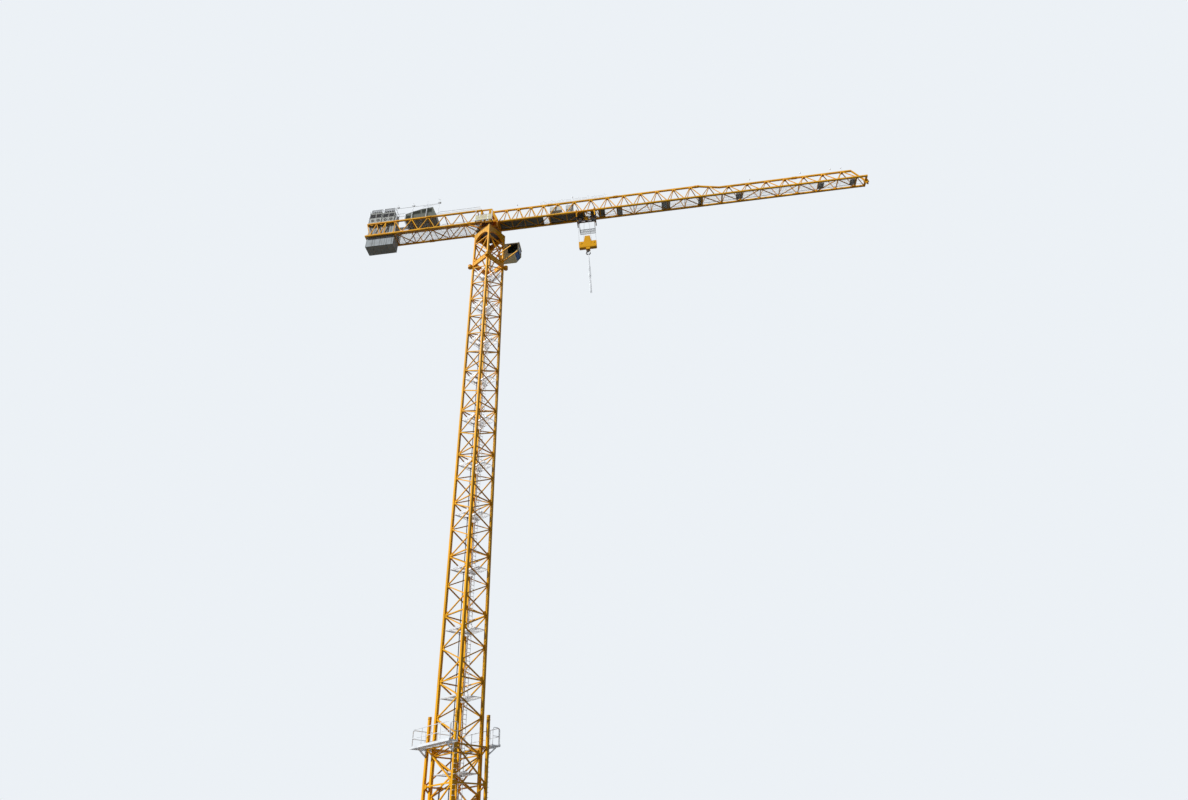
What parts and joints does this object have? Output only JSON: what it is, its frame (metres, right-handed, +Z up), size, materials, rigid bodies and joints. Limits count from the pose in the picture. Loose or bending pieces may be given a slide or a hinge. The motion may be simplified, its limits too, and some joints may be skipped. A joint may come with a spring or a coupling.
{
  "type": "tower crane, 1:2 scale model",
  "caption": "Flat-top tower crane, half scale: braced mast, climbing frame, slewing jib and counter-jib, trolley and hook.",
  "frame": {"origin": "on the ground at the middle of the mast, under the cross base", "axes": "+Z up along the mast, +X along the jib towards its tip, +Y away from the picture's viewer"},
  "size_m": [28.9, 3.0627, 34.941],
  "materials": {
    "yellow_paint": "weathered orange-yellow paint",
    "amber_paint": "weathered darker yellow paint",
    "galvanised_steel": "dull hot-dip galvanised steel",
    "dark_steel": "oiled dark steel",
    "concrete": "cast concrete, rough",
    "housing_paint": "dark grey-green paint",
    "cabinet_paint": "pale grey paint",
    "cab_paint": "pale grey paint",
    "tinted_glass": "dark green tinted glass",
    "cable_jacket": "black rubber jacket",
    "rope_steel": "greased steel rope"
  },
  "bodies": {
    "mast": {"base_cross": "amber_paint", "mast_legs": "yellow_paint", "mast_lacing_low": "yellow_paint", "mast_lacing_mid": "yellow_paint", "mast_lacing_high": "yellow_paint", "mast_ladder": "galvanised_steel", "mast_landings": "galvanised_steel", "power_cable": "cable_jacket", "head_posts": "yellow_paint", "head_sides": "yellow_paint", "feed_rails": "yellow_paint", "slewing_ring": "dark_steel"},
    "climbing_frame": {"cage_posts": "yellow_paint", "cage_sides": "yellow_paint", "cage_guides": "dark_steel", "cage_walkways": "galvanised_steel", "cage_railings": "galvanised_steel", "climbing_jack": "dark_steel"},
    "slewing_part": {"turntable": "amber_paint", "tower_head": "yellow_paint", "turntable_platform": "cabinet_paint", "jib_chords": "yellow_paint", "jib_inner_lacing": "yellow_paint", "jib_outer_lacing": "yellow_paint", "jib_walkway": "dark_steel", "jib_nose": "yellow_paint", "trolley_winch": "cabinet_paint", "jib_platform": "galvanised_steel", "jib_rope": "rope_steel", "rear_chords": "yellow_paint", "rear_lacing": "yellow_paint", "rear_deck": "dark_steel", "counterweight": "concrete", "hoist_unit": "housing_paint", "rear_cabinets": "cabinet_paint", "rear_railings": "galvanised_steel", "cab_frame": "yellow_paint", "cab_shell": "cab_paint", "cab_glass": "tinted_glass"},
    "trolley": {"trolley_frame": "yellow_paint", "trolley_wheels": "dark_steel", "hoist_ropes": "rope_steel"},
    "block": {"hook_block": "yellow_paint"},
    "hook_and_sling": {"hook": "dark_steel", "chain_sling": "galvanised_steel"}
  },
  "joints": [
    {"name": "climb", "type": "slide", "parent": "mast", "child": "climbing_frame", "axis": [0, 0, 1], "range_m": [0, 22.7]},
    {"name": "slew", "type": "hinge", "parent": "mast", "child": "slewing_part", "pos_m": [0, 0, 31.8], "axis": [0, 0, 1], "continuous": true},
    {"name": "trolley_travel", "type": "slide", "parent": "slewing_part", "child": "trolley", "axis": [1, 0, 0], "range_m": [-3.1, 15.1]},
    {"name": "hoist", "type": "slide", "parent": "trolley", "child": "block", "axis": [0, 0, 1], "range_m": [-25.4, 0.8], "deforming": ["hoist_ropes"]},
    {"name": "hook_swivel", "type": "hinge", "parent": "block", "child": "hook_and_sling", "pos_m": [5.6, 0, 29.476], "axis": [0, 0, 1], "continuous": true}
  ]
}
